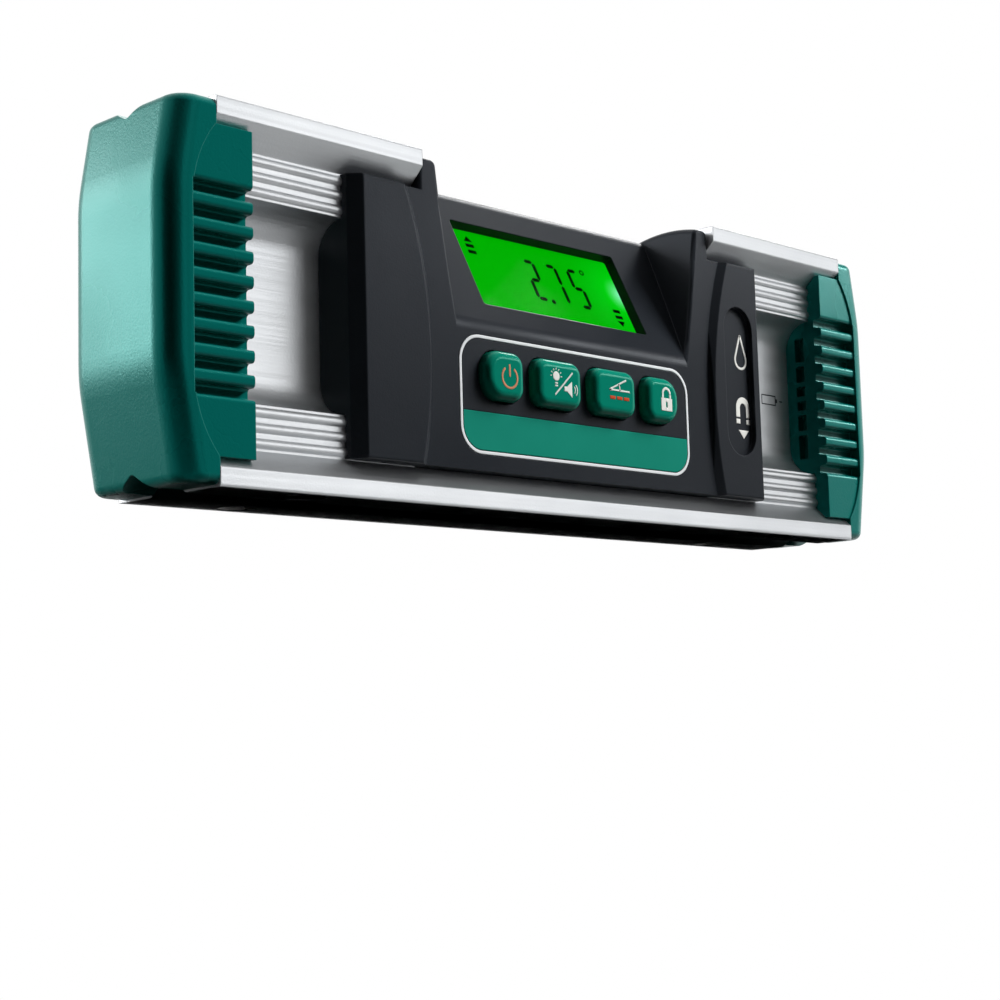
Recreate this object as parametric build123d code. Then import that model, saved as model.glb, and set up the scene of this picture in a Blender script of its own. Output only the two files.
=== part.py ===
from build123d import *
import math
import os

# A compact digital level: an aluminium rail with soft end caps and an electronics housing
# clamped over the middle of its web. Millimetres. X runs along the rail, Y from the display
# side (negative) to the rear, Z up. The origin is the middle of the base.

# Rail, an aluminium extrusion
rail_length = 164.0
rail_height = 60.0
rail_width = 26.3
flange_edge = 3.0  # flat outer face of each flange
ramp_height = 3.5  # slope between the flange face and the ridged band
band_inset = 3.7  # ridged band lies this far behind the flange face
band_height = 7.3
scoop_height = 5.8  # hollow curve between the band and the web
web_thickness = 7.2
ridge_count = 3
ridge_radius = 0.9
ridge_height = 0.45
vee_width = 9.0  # pipe groove along the base and the top
vee_depth = 2.8
vee_round = 1.2
rail_wall = 2.0
rail_round = 0.4
chamber_round = 1.0
window_length = 78.4  # gap in the web and top flange for the housing

# Base magnets
magnet_diameter = 6.4
magnet_height = 2.5
magnet_recess = 0.1
magnet_offset = 62.0  # from the middle, along the rail
magnet_fit = 0.05

# End caps
cap_overhang = 9.3  # beyond the end of the rail
cap_drop = 0.4  # cap stays this far inside the base and top planes
cap_lean_low = 3.0  # the end leans in by this much at the base
cap_lean_high = 2.3  # and by this much at the top
cap_knee_low = 18.0  # height of the lower bend in the end
cap_knee_high = 46.5
cap_vee_width = 9.6  # dip across the top of the cap
cap_vee_depth = 2.4
cap_side_setback = 0.05  # cap flank behind the flange face
cap_corner_round = 4.2
cap_facet_round = 34.0
cap_edge_round = 1.6
cap_reach = 7.0  # grip along the web, inwards from the rail's end
cap_ledge = 1.5  # flange face to the edge of the grip
cap_fit = 0.1  # cap to metal
grip_step = 0.3  # the grip area lies below the cap's flank
grip_outset = 4.5  # grip area beyond the rail's end
grip_bow = 14.0  # height over which the grip area's outer edge curves in
grip_bow_out = 0.68  # share of the outset reached at the curve's middle
grip_bow_up = 0.36  # share of the bow's height there
rib_zone = 32.6
rib_count = 8
rib_width = 2.0
rib_depth = 1.9
rib_round = 0.7
groove_round = 0.5
hollow_heights = (2.1, 3.4, 5.1)  # hollows in the grip's inner end, from the middle outwards
hollow_gap = 0.9
hollow_width = 2.2
hollow_wall = 2.4  # between the web and the hollows
hollow_depth = 1.8
hollow_round = 0.4
tenon_length = 8.0
tenon_fit = 0.15

# Housing
wall = 2.0
housing_fit = 0.3  # housing to the ends of the rail's window
seat_gap = 0.15  # housing to the floor of the window
panel_setback = 1.25  # button panel behind the flange face
tab_setback = 0.15  # tab face behind the flange face
tab_reach = 15.2  # tab along the web, outwards from the window
tab_chamfer = 2.0
tab_slope = 1.5  # width of the sloping step from panel to tab
tab_fit = 0.1  # tab to the web and ridges
tab_edge_round = 0.35
bearing_length = 9.0  # pad on each tab that bears on the web
bearing_height = 14.0
tab_arc_top = 4.3  # tab's inner edge, measured from the end of the window
tab_arc_mid = -1.0
tab_arc_low = 1.2
tab_arc_apex = 23.0  # height of the arc's closest point to the middle
split_land = 0.55  # brow to the joint between the shells
rear_round = 1.0

# Leaning display face and the cheeks beside it
bend_share = 0.535  # height of the bend, as a share of the rail's
bend_round = 5.0
face_setback = 13.3  # the face leans back this much from bend to brow
brow_drop = 1.1  # top of the display face below the rail's top
brow_round = 2.5
cheek_drop = 0.1  # crest of the cheeks below the rail's top
cheek_low = 9.4  # thickness of each cheek at the bend
cheek_middle = 6.2
cheek_top = 3.9
cheek_top_round = 1.2
cheek_front_round = 0.7

# Display
view_length = 43.8
view_low_margin = 4.9  # bend to the lower edge of the view
view_top_margin = 6.3  # brow to its upper edge
view_round = 0.5
glass_lap = 1.6  # window past the view on each side
window_thickness = 1.0
lcd_thickness = 1.6
guide_thickness = 1.2
frame_wall = 1.6
frame_fit = 0.1
led_length = 3.0
led_depth = 1.3
led_fit = 0.05
ribbon_width = 18.0
ribbon_thickness = 0.16
ribbon_lap = 2.0
ribbon_slot = 0.8

# Oval recess in the right-hand tab
recess_length = 29.7
recess_width = 9.0
recess_depth = 1.0
recess_offset = 6.9  # from the end of the window
recess_height = 29.75

# Printed panel
outline_length = 61.2
outline_low_gap = 2.9  # above the housing's lower edge
outline_top_gap = 1.95  # below the bend
outline_round = 4.9
outline_line = 0.55
band_gap = 2.1  # between the buttons and the green band
inlay_depth = 0.3
inlay_proud = 0.05
inlay_fit = 0.05

# Buttons
button_lengths = (9.5, 12.0, 12.0, 9.5)  # from left to right
button_gap = 2.9
button_height = 8.7
button_proud = 2.1
button_drop = 6.85  # middle of the buttons below the outline's upper edge
button_round = 2.5
button_outer_round = 3.8
button_dome = 1.6
button_fit = 0.25
button_flange = 0.65
button_flange_thickness = 0.75
button_flange_gap = 0.05
button_travel = 0.7
button_slack = 0.2  # left between button and switch when pressed home
mat_margin = 1.2
mat_fit = 0.3

# Main board
board_end_gap = 0.9  # board to the housing's end walls
board_thickness = 1.6
board_rim = 0.55  # board edge to the housing floor
board_head_room = 1.0  # board edge to the display frame
switch_size = 4.5
switch_height = 1.4
plunger_diameter = 2.2
plunger_height = 0.5
boss_diameter = 4.8
boss_inset = 2.5  # from the board's edges
board_screw_diameter = 1.5
board_screw_length = 5.0
board_screw_head = 3.2
board_screw_head_height = 1.2
screw_fit = 0.05
sensor_size = 8.0
sensor_height = 1.8
chip_size = 7.0
chip_height = 1.2
chip_inset = 6.4  # middle of the sensor and of the chip, from the board's end

# Buzzer
buzzer_diameter = 10.0
buzzer_height = 3.5

# Batteries, two AAA cells side by side
cell_diameter = 10.5
cell_length = 44.5
cell_nub_diameter = 3.8
cell_nub_length = 0.8
cell_gap = 0.4
contact_thickness = 0.4
contact_width = 8.0
contact_bump = 1.6
contact_tail = 2.0
contact_slot_fit = 0.2
bay_wall = 1.0
bay_clear = 0.2

# Battery door
door_thickness = 2.0
door_fit = 0.2
door_margin = 2.2  # seat all round the battery bay
door_rim = 1.8  # housing below the door
door_ear = 7.0  # door past the bay, where the screws go
door_round = 2.6
seat_depth = 2.6
gasket_width = 1.0
gasket_height = 0.8
gasket_fit = 0.05
door_screw_diameter = 3.0
door_screw_length = 8.0
door_screw_head = 6.0
door_screw_head_height = 1.2
door_screw_slot = 0.9
door_screw_slot_depth = 0.6
door_screw_fit = 0.1
door_screw_boss = 5.6

# Screws through the web
clamp_screw_diameter = 2.6
clamp_screw_head = 4.8
clamp_screw_head_height = 1.8
clamp_screw_inset = 0.4
clamp_screw_socket = 1.2  # hex socket, middle to corner
clamp_spacing_z = 17.0
clamp_offset = 7.5  # from the end of the window
clamp_bite = 6.0
clamp_hole_fit = 0.3

# Values worked out from the sizes above
half_width = rail_width / 2
rail_end = rail_length / 2
mid_height = rail_height / 2
band_face = half_width - band_inset
web_face = web_thickness / 2
band_start = flange_edge + ramp_height
band_end = band_start + band_height
web_start = band_end + scoop_height
window_half = window_length / 2

housing_half = window_half - housing_fit
housing_low = band_start + seat_gap
panel_y = -(half_width - panel_setback)
tab_y = -(half_width - tab_setback)
tab_low = housing_low
tab_high = rail_height - housing_low
tab_outer = window_half + tab_reach
back_y = -panel_y
panel_inside = panel_y + wall
back_inside = back_y - wall
cavity_half = housing_half - wall

bend_height = rail_height * bend_share
brow_height = rail_height - brow_drop
face_rise = brow_height - bend_height
face_length = math.hypot(face_setback, face_rise)
lean = math.atan2(face_setback, face_rise)
brow_turn = (math.pi / 2 - lean) / 2
brow_run = brow_round * math.tan(brow_turn)
split_y = panel_y + face_setback + brow_run + split_land
face_normal = (0, -math.cos(lean), math.sin(lean))
face_plane = Plane((0, panel_y, bend_height), x_dir=(1, 0, 0), z_dir=face_normal)
view_height = face_length - view_low_margin - view_top_margin
view_middle = view_low_margin + view_height / 2
glass_length = view_length + 2 * glass_lap
glass_height = view_height + 2 * glass_lap
glass_front = wall
glass_back = glass_front + window_thickness
lcd_front = glass_back
lcd_back = lcd_front + lcd_thickness
guide_front = lcd_back
guide_back = guide_front + guide_thickness
frame_half = glass_length / 2 + frame_fit + frame_wall
frame_low = view_low_margin - glass_lap - frame_fit - frame_wall

outline_low = housing_low + outline_low_gap
outline_top = bend_height - outline_top_gap
outline_height = outline_top - outline_low
outline_middle = (outline_low + outline_top) / 2
button_middle = outline_top - button_drop
band_top = button_middle - button_height / 2 - band_gap

button_front = panel_y - button_proud
flange_front = panel_inside + button_flange_gap
flange_back = flange_front + button_flange_thickness
plunger_front = flange_back + button_travel + button_slack
switch_front = plunger_front + plunger_height
board_front = switch_front + switch_height
board_back = board_front + board_thickness
board_low = housing_low + wall + board_rim
board_half = cavity_half - board_end_gap
button_names = ("power_button", "light_button", "mode_button", "hold_button")

bay_low = housing_low + door_rim + door_margin
bay_height = 2 * cell_diameter + 3 * cell_gap
bay_middle = bay_low + bay_height / 2
bay_half = cell_length / 2 + contact_bump + contact_thickness
door_inside = back_y - door_thickness
cell_y = door_inside - bay_clear - cell_diameter / 2
bay_floor = cell_y - cell_diameter / 2 - bay_clear
cell_levels = [bay_middle + side * (cell_diameter + cell_gap) / 2 for side in (-1, 1)]
bay_top = bay_low + bay_height + bay_wall
door_half = bay_half + door_ear
door_height = bay_height + 2 * door_margin
door_screw_x = bay_half + door_ear / 2
clamp_x = window_half + clamp_offset
clamp_levels = [mid_height - clamp_spacing_z / 2, mid_height + clamp_spacing_z / 2]
past = 1.0  # cutting shapes run this far past what they cut
near = 0.01  # edges and corners this close to a place count as being on it


def along_x(sketch, x0, x1):
    # A sketch drawn in (Y, Z), as a solid from x0 to x1
    return extrude(Plane.YZ.offset(x0) * sketch, x1 - x0)


def facing_front(y):
    # The plane across the rail at a given y, drawn in (X, Z)
    return Plane((0, y, 0), x_dir=(1, 0, 0), z_dir=(0, -1, 0))


def along_y(sketch, y0, y1):
    # A sketch drawn in (X, Z), as a solid from y0 to y1
    return extrude(facing_front(y1) * sketch, y1 - y0)


def along_z(sketch, z0, z1):
    # A sketch drawn in (X, Y), as a solid from z0 to z1
    return extrude(Plane.XY.offset(z0) * sketch, z1 - z0)


def behind_face(sketch, depth0, depth1):
    # A sketch drawn on the display face, as a solid between two depths behind it
    return extrude(face_plane.offset(-depth1) * sketch, depth1 - depth0)


def face_point(rise, depth):
    # (Y, Z) of a point on the display's centre line, a given way up the face and behind it
    y = panel_y + rise * math.sin(lean) + depth * math.cos(lean)
    z = bend_height + rise * math.cos(lean) - depth * math.sin(lean)
    return (y, z)


def rectangle(x0, x1, y0, y1):
    return Pos((x0 + x1) / 2, (y0 + y1) / 2) * Rectangle(x1 - x0, y1 - y0)


def rod_y(x, z, diameter, y0, y1):
    return along_y(Pos(x, z) * Circle(diameter / 2), y0, y1)


def mirrored(shape):
    # The same shape on the other end of the rail
    return mirror(shape, about=Plane.YZ)


def turned_to_rear(shape):
    # The same shape on the rear side of the rail
    return mirror(shape, about=Plane.XZ)


def ridges(grow):
    # Half-round ridges on the lower and upper bands of the front channel, in (Y, Z)
    pitch = band_height / ridge_count
    centre_y = -(band_face + ridge_height - ridge_radius)
    shape = Sketch()
    for step in range(ridge_count):
        level = band_start + (step + 0.5) * pitch
        for height in (level, rail_height - level):
            shape += Pos(centre_y, height) * Circle(ridge_radius + grow)
    return shape


def channel(gap):
    # Front channel between the flanges, in (Y, Z). The gap holds a fitted piece off the metal.
    outside = -rail_width
    rise = gap * math.sqrt(2)
    face = -(band_face + gap)
    web = -(web_face + gap)
    bow = band_face - web_face
    low_edge = Polyline(
        (outside, flange_edge + rise),
        (-half_width, flange_edge + rise),
        (face, band_start + rise),
        (face, band_end + gap),
    )
    low_scoop = EllipticalCenterArc((face, web_start + gap), bow, scoop_height, 270, arc_size=90)
    web_line = Line((web, web_start + gap), (web, rail_height - web_start - gap))
    high_middle = (face, rail_height - web_start - gap)
    high_scoop = EllipticalCenterArc(high_middle, bow, scoop_height, 0, arc_size=90)
    high_edge = Polyline(
        (face, rail_height - band_end - gap),
        (face, rail_height - band_start - rise),
        (-half_width, rail_height - flange_edge - rise),
        (outside, rail_height - flange_edge - rise),
        (outside, flange_edge + rise),
    )
    outline = low_edge + low_scoop + web_line + high_scoop + high_edge
    return make_face(outline) - ridges(gap)


def vee(width, depth):
    # A pipe groove open at the base, in (Y, Z)
    flare = width / 2 * past / depth
    mouth = width / 2 + flare
    groove = make_face(Polyline((-mouth, -past), (0, depth), (mouth, -past), close=True))
    apex = groove.vertices().sort_by(Axis.Y)[-1]
    return fillet(apex, vee_round)


def at_top(groove):
    # The same groove, open at the rail's top
    return Pos(0, rail_height) * mirror(groove, about=Plane.XZ)


def chambers(inset):
    # The extrusion's three hollows, in (Y, Z). The end caps' tenons are inset in them.
    head_low = vee_depth + rail_wall
    head_high = band_end - rail_wall
    head_width = 2 * (band_face - rail_wall)
    head = RectangleRounded(head_width - 2 * inset, head_high - head_low - 2 * inset, chamber_round)
    head_middle = (head_low + head_high) / 2
    slot_width = web_thickness - 2 * rail_wall
    slot_height = rail_height - 2 * (web_start - rail_wall)
    slot = Pos(0, mid_height) * SlotOverall(slot_height - 2 * inset, slot_width - 2 * inset, rotation=90)
    return slot + Pos(0, head_middle) * head + Pos(0, rail_height - head_middle) * head


def magnet_places():
    across = (vee_width / 2 + half_width) / 2
    return [(x, y) for x in (-magnet_offset, magnet_offset) for y in (-across, across)]


def clamp_places():
    return [(x, z) for x in (-clamp_x, clamp_x) for z in clamp_levels]


def rail():
    section = rectangle(-half_width, half_width, 0, rail_height)
    front = channel(0)
    groove = vee(vee_width, vee_depth)
    section = section - front - mirror(front, about=Plane.YZ) - groove - at_top(groove)
    corners = [corner for corner in section.vertices() if abs(abs(corner.X) - half_width) < near]
    section = fillet(corners, rail_round)
    body = along_x(section - chambers(0), -rail_end, rail_end)
    window = rectangle(-window_half, window_half, band_start, rail_height + past)
    body -= along_y(window, -rail_width, rail_width)
    for x, z in clamp_places():
        body -= rod_y(x, z, clamp_screw_diameter + 2 * clamp_hole_fit, -half_width, half_width)
    pocket = magnet_recess + magnet_height
    for x, y in magnet_places():
        body -= along_z(Pos(x, y) * Circle(magnet_diameter / 2 + magnet_fit), -past, pocket)
    return body


def base_magnets():
    discs = [
        along_z(Pos(x, y) * Circle(magnet_diameter / 2), magnet_recess, magnet_recess + magnet_height)
        for x, y in magnet_places()
    ]
    return Compound(children=discs)


def grip_hollows():
    # Moulded hollows in the inner end of a grip, in (Y, Z)
    middle = -(web_face + hollow_wall + hollow_width / 2)
    start = hollow_gap / 2
    shape = Sketch()
    for height in hollow_heights:
        rise = start + height / 2
        for level in (mid_height - rise, mid_height + rise):
            shape += Pos(middle, level) * RectangleRounded(hollow_width, height, hollow_round)
        start += height + hollow_gap
    return shape


def end_cap():
    # The right-hand cap: a shell over the rail's end, grips beside the web, tenons in the hollows
    side = half_width - cap_side_setback
    grip_side = side - grip_step
    low = cap_drop
    high = rail_height - cap_drop
    rib_low = mid_height - rib_zone / 2
    rib_high = mid_height + rib_zone / 2
    tip = rail_end + cap_overhang
    outline = make_face(
        Polyline(
            (rail_end, low),
            (tip - cap_lean_low, low),
            (tip, cap_knee_low),
            (tip, cap_knee_high),
            (tip - cap_lean_high, high),
            (rail_end, high),
            close=True,
        )
    )
    knees = [corner for corner in outline.vertices() if abs(corner.X - tip) < near]
    outline = fillet(knees, cap_facet_round)
    shell = along_y(outline, -side, side)
    flanks = shell.faces().filter_by(Axis.Y)
    corners = [
        edge
        for edge in flanks.edges()
        if edge.center().X > rail_end + near and abs(edge.tangent_at(0.5).Z) > near
    ]
    shell = fillet(corners, cap_corner_round)
    rims = [
        edge
        for edge in shell.faces().filter_by(Axis.Z).edges()
        if edge.center().X > rail_end + near
    ]
    shell = fillet(rims, cap_edge_round)

    grip_low = flange_edge + cap_ledge
    grip_high = rail_height - grip_low
    grip_edge = rail_end + grip_outset
    bow_point = (rail_end + grip_bow_out * grip_outset, grip_low + grip_bow_up * grip_bow)
    grip_outline = make_face(
        Polyline((rail_end - past, grip_high), (rail_end - past, grip_low), (rail_end, grip_low))
        + ThreePointArc((rail_end, grip_low), bow_point, (grip_edge, grip_low + grip_bow))
        + Line((grip_edge, grip_low + grip_bow), (grip_edge, grip_high - grip_bow))
        + ThreePointArc(
            (grip_edge, grip_high - grip_bow),
            (bow_point[0], rail_height - bow_point[1]),
            (rail_end, grip_high),
        )
        + Line((rail_end, grip_high), (rail_end - past, grip_high))
    )
    step = along_y(grip_outline, -side - past, -grip_side)
    shell = shell - step - turned_to_rear(step)

    grip_section = channel(cap_fit) & rectangle(-grip_side, 0, grip_low, grip_high)
    grip = along_x(grip_section, rail_end - cap_reach, rail_end)
    grip -= along_x(grip_hollows(), rail_end - cap_reach - past, rail_end - cap_reach + hollow_depth)
    groove_width = (rib_zone - rib_count * rib_width) / (rib_count + 1)
    for place in range(rib_count + 1):
        groove_low = rib_low + place * (groove_width + rib_width)
        groove_high = groove_low + groove_width
        groove = rectangle(-grip_side - past, -grip_side + rib_depth, groove_low, groove_high)
        floor = [corner for corner in groove.vertices() if corner.X > -grip_side]
        groove = fillet(floor, groove_round)
        cut = along_x(groove, rail_end - cap_reach - past, grip_edge)
        grip -= cut
        shell = shell - cut - turned_to_rear(cut)
    shell = shell + grip + turned_to_rear(grip)
    rib_edges = [
        edge
        for edge in shell.edges().filter_by(Axis.X)
        if abs(abs(edge.center().Y) - grip_side) < near
        and rib_low - near < edge.center().Z < rib_high + near
    ]
    shell = fillet(rib_edges, rib_round)
    shell += along_x(chambers(tenon_fit), rail_end - tenon_length, rail_end)
    dips = vee(vee_width, vee_depth) + at_top(vee(cap_vee_width, cap_vee_depth))
    return shell - along_x(dips, rail_end - past, tip + past)


def tab_block(sign):
    # Clamping tab of the front shell, on the side given by sign: a plate with a raised face
    inner = housing_half - past
    face_outer = tab_outer - tab_chamfer
    plate_outer = face_outer + panel_y - tab_y
    plan = make_face(
        Polyline(
            (inner, 0),
            (inner, panel_y),
            (plate_outer, panel_y),
            (tab_outer, tab_y + tab_chamfer),
            (tab_outer, 0),
            close=True,
        )
    )
    plate = along_z(plan, tab_low, tab_high)

    def raised_outline(outer, shift):
        top = (window_half + tab_arc_top - shift, tab_high)
        apex = (window_half + tab_arc_mid - shift, tab_arc_apex)
        low = (window_half + tab_arc_low - shift, tab_low)
        sides = Polyline(low, (outer, tab_low), (outer, tab_high), top)
        return make_face(sides + ThreePointArc(top, apex, low))

    root = facing_front(panel_y) * raised_outline(plate_outer, tab_slope)
    face = facing_front(tab_y) * raised_outline(face_outer, 0)
    pad = loft([root, face], ruled=True)
    pad = fillet(pad.faces().sort_by(Axis.Y)[0].edges(), tab_edge_round)
    tab = plate + pad
    tab &= along_x(channel(tab_fit), inner, tab_outer + past)
    pad_middle = window_half + tab_reach / 2
    bearing = Pos(pad_middle, mid_height) * Rectangle(bearing_length, bearing_height)
    tab += along_y(bearing, -(web_face + past), -web_face)
    if sign < 0:
        return mirrored(tab)
    return tab


def shell_tabs():
    return tab_block(-1) + tab_block(1)


def crown():
    # Side view of the cheeks, in (Y, Z), with a crowned top
    low = bend_height - bend_round
    crest = ((panel_y + split_y) / 2, rail_height - cheek_drop)
    return make_face(
        ThreePointArc((panel_y, brow_height), crest, (split_y, brow_height))
        + Polyline((split_y, brow_height), (split_y, low), (panel_y, low), (panel_y, brow_height))
    )


def cheek():
    # Right-hand cheek, with a curved inner wall beside the display
    low = bend_height - bend_round
    foot = (housing_half - cheek_low, low)
    middle = (housing_half - cheek_middle, (low + rail_height) / 2)
    head = (housing_half - cheek_top, rail_height)
    outline = make_face(
        ThreePointArc(foot, middle, head)
        + Polyline(head, (housing_half, rail_height), (housing_half, low), foot)
    )
    body = along_y(outline, panel_y, split_y) & along_x(crown(), 0, housing_half)
    top = body.faces().sort_by(Axis.Z)[-1]
    ridge = [edge for edge in top.edges() if abs(edge.tangent_at(0.5).Y) > 0.5]
    body = fillet(ridge, cheek_top_round)
    front = body.faces().sort_by(Axis.Y)[0]
    rim = [
        edge
        for edge in front.edges()
        if edge.center().Z > low + past and edge.center().X < housing_half - near
    ]
    return fillet(rim, cheek_front_round)


def face_profile():
    # The line up the panel, round the bend, up the display face and over the brow, in (Y, Z)
    run = bend_round * math.tan(lean / 2)
    bend_start = (panel_y, bend_height - run)
    bend_middle = (
        panel_y + bend_round * (1 - math.cos(lean / 2)),
        bend_height - run + bend_round * math.sin(lean / 2),
    )
    brow_start = face_point(face_length - brow_run, 0)
    brow_end = (panel_y + face_setback + brow_run, brow_height)
    brow_middle = (
        brow_end[0] - brow_round * math.sin(brow_turn),
        brow_height - brow_round * (1 - math.cos(brow_turn)),
    )
    return (
        ThreePointArc(bend_start, bend_middle, face_point(run, 0))
        + Line(face_point(run, 0), brow_start)
        + ThreePointArc(brow_start, brow_middle, brow_end)
    )


def front_housing():
    low_rise = wall * (1 - math.cos(lean)) / math.sin(lean)
    line = face_profile()
    start = line.vertices().sort_by(Axis.Y)[0]
    end = line.vertices().sort_by(Axis.X)[-1]
    side_view = make_face(
        line
        + Polyline(
            (end.X, end.Y),
            (split_y, end.Y),
            (split_y, housing_low),
            (panel_y, housing_low),
            (start.X, start.Y),
        )
    )
    body = along_x(side_view, -housing_half, housing_half)
    body_cheek = cheek()
    body = body + body_cheek + mirrored(body_cheek) + shell_tabs()

    high_rise = (brow_height - wall - bend_height + wall * math.sin(lean)) / math.cos(lean)
    cavity = make_face(
        Polyline(
            (panel_inside, housing_low + wall),
            face_point(low_rise, wall),
            face_point(high_rise, wall),
            (split_y + past, brow_height - wall),
            (split_y + past, housing_low + wall),
            close=True,
        )
    )
    body -= along_x(cavity, -cavity_half, cavity_half)
    view = Pos(0, view_middle) * RectangleRounded(view_length, view_height, view_round)
    body -= behind_face(view, -past, wall + past)
    for place in range(len(button_names)):
        opening = button_outline(place, button_fit)
        body -= along_y(opening, panel_y - past, panel_inside + past)
    body -= along_y(outline_ring(inlay_fit), panel_y - past, panel_y + inlay_depth)
    body -= along_y(band_patch(inlay_fit), panel_y - past, panel_y + inlay_depth)
    oval = SlotOverall(recess_length, recess_width, rotation=90)
    recess = Pos(window_half + recess_offset, recess_height) * oval
    body -= along_y(recess, tab_y - past, tab_y + recess_depth)
    for x, z in board_screw_places():
        body += rod_y(x, z, boss_diameter, panel_inside, board_front)
        hole = board_screw_diameter + 2 * screw_fit
        body -= rod_y(x, z, hole, board_back - board_screw_length, board_front)
    for x, z in clamp_places():
        body -= rod_y(x, z, clamp_screw_diameter + 2 * screw_fit, -(web_face + clamp_bite), 0)
    return body


def housing_ring(width):
    # The joint line between the two shells, in (X, Z)
    middle = (housing_low + brow_height) / 2
    line_length = 2 * housing_half - wall
    line_height = brow_height - housing_low - wall
    outer = Rectangle(line_length + width, line_height + width)
    inner = Rectangle(line_length - width, line_height - width)
    return Pos(0, middle) * (outer - inner)


def housing_gasket():
    return along_y(housing_ring(gasket_width), split_y, split_y + gasket_height)


def door_outline(grow):
    half = door_half + grow
    height = door_height + 2 * grow
    return Pos(0, bay_middle) * RectangleRounded(2 * half, height, door_round + grow)


def seat_ring(width):
    # The gasket's line round the mouth of the battery bay, in (X, Z)
    length = 2 * bay_half + door_margin
    height = bay_height + door_margin
    outer = Rectangle(length + width, height + width)
    inner = Rectangle(length - width, height - width)
    return Pos(0, bay_middle) * (outer - inner)


def door_gasket():
    return along_y(seat_ring(gasket_width), door_inside - gasket_height, door_inside)


def rear_housing():
    body = along_y(rectangle(-housing_half, housing_half, housing_low, brow_height), split_y, back_y)
    rim = body.faces().sort_by(Axis.Y)[-1].edges()
    body = fillet(rim, rear_round)
    body += turned_to_rear(shell_tabs())
    hollow = rectangle(-cavity_half, cavity_half, housing_low + wall, brow_height - wall)
    body -= along_y(hollow, split_y - past, back_inside)
    seat = Pos(0, bay_middle) * Rectangle(2 * (door_half + wall), door_height + 2 * door_rim)
    body += along_y(seat, door_inside - seat_depth, door_inside)
    tub = Pos(0, bay_middle) * Rectangle(2 * (bay_half + bay_wall), bay_height + 2 * bay_wall)
    body += along_y(tub, bay_floor - bay_wall, door_inside)
    for side in (-1, 1):
        boss_floor = door_inside - door_screw_length
        body += rod_y(side * door_screw_x, bay_middle, door_screw_boss, boss_floor, door_inside)
    bay = Pos(0, bay_middle) * Rectangle(2 * bay_half, bay_height)
    body -= along_y(bay, bay_floor, back_y + past)
    body -= along_y(door_outline(door_fit), door_inside, back_y + past)
    body -= along_y(seat_ring(gasket_width + 2 * gasket_fit), door_inside - gasket_height, door_inside)
    body -= along_y(housing_ring(gasket_width + 2 * gasket_fit), split_y, split_y + gasket_height)
    for side in (-1, 1):
        hole = door_screw_diameter + 2 * door_screw_fit
        body -= rod_y(side * door_screw_x, bay_middle, hole, door_inside - door_screw_length - past, back_y)
        for level in cell_levels:
            slot_x = side * (bay_half - contact_thickness / 2)
            slot = Pos(slot_x, level) * Rectangle(
                contact_thickness + 2 * contact_slot_fit, contact_tail + 2 * contact_slot_fit
            )
            body -= along_y(slot, bay_floor - bay_wall - past, bay_floor)
    rear_tab = -tab_y
    for x, z in clamp_places():
        body -= rod_y(x, z, clamp_screw_diameter + 2 * clamp_hole_fit, 0, rear_tab + past)
        seat_y = rear_tab - clamp_screw_inset - clamp_screw_head_height
        body -= rod_y(x, z, clamp_screw_head + 2 * clamp_hole_fit, seat_y, rear_tab + past)
    return body


def housing_screws():
    # Pan-head screws from the rear tabs, through the web, into the front tabs
    rear_tab = -tab_y
    seat_y = rear_tab - clamp_screw_inset - clamp_screw_head_height
    tip = -(web_face + clamp_bite) + screw_fit
    screws = []
    for x, z in clamp_places():
        screw = rod_y(x, z, clamp_screw_head, seat_y, seat_y + clamp_screw_head_height)
        screw += rod_y(x, z, clamp_screw_diameter, tip, seat_y)
        head_y = seat_y + clamp_screw_head_height
        socket = Pos(x, z) * RegularPolygon(clamp_screw_socket, 6)
        screw -= along_y(socket, head_y - clamp_screw_head_height / 2, head_y + past)
        screws.append(screw)
    return Compound(children=screws)


def display_window():
    glass = Pos(0, view_middle) * RectangleRounded(glass_length, glass_height, view_round)
    return behind_face(glass, glass_front, glass_back)


def lcd_panel():
    return behind_face(Pos(0, view_middle) * Rectangle(glass_length, glass_height), lcd_front, lcd_back)


def led_notch(grow):
    right = glass_length / 2
    half = led_length / 2 + grow
    return rectangle(right - led_depth - grow, right + grow, view_middle - half, view_middle + half)


def backlight_guide():
    plate = Pos(0, view_middle) * Rectangle(glass_length, glass_height)
    return behind_face(plate - led_notch(led_fit), guide_front, guide_back)


def backlight_led():
    return behind_face(led_notch(0), guide_front, guide_back)


def display_frame():
    inner_length = glass_length + 2 * frame_fit
    inner_height = glass_height + 2 * frame_fit
    ring = Rectangle(inner_length + 2 * frame_wall, inner_height + 2 * frame_wall)
    ring -= Rectangle(inner_length, inner_height)
    body = behind_face(Pos(0, view_middle) * ring, glass_front, guide_back)
    slot_middle = (lcd_front + lcd_back) / 2
    slot_half = ribbon_width / 2 + ribbon_slot
    slot = rectangle(-slot_half, slot_half, frame_low - past, view_middle)
    body -= behind_face(slot, slot_middle - ribbon_slot / 2, slot_middle + ribbon_slot / 2)
    return body


def lcd_ribbon():
    # Flat flexible strip from the display's lower edge to the front of the board
    depth = (lcd_front + lcd_back) / 2
    start = face_point(view_low_margin - glass_lap, depth)
    leave = face_point(frame_low - ribbon_slot, depth)
    lie_y = board_front - ribbon_thickness / 2
    touch = (lie_y, board_high() - ribbon_slot)
    end = (lie_y, board_high() - ribbon_slot - ribbon_lap)
    strip = trace(Polyline(start, leave, touch, end), ribbon_thickness)
    return along_x(strip, -ribbon_width / 2, ribbon_width / 2)


def outline_ring(grow):
    outer = RectangleRounded(outline_length + 2 * grow, outline_height + 2 * grow, outline_round + grow)
    inset = outline_line + grow
    inner = RectangleRounded(outline_length - 2 * inset, outline_height - 2 * inset, outline_round - inset)
    return Pos(0, outline_middle) * (outer - inner)


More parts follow.
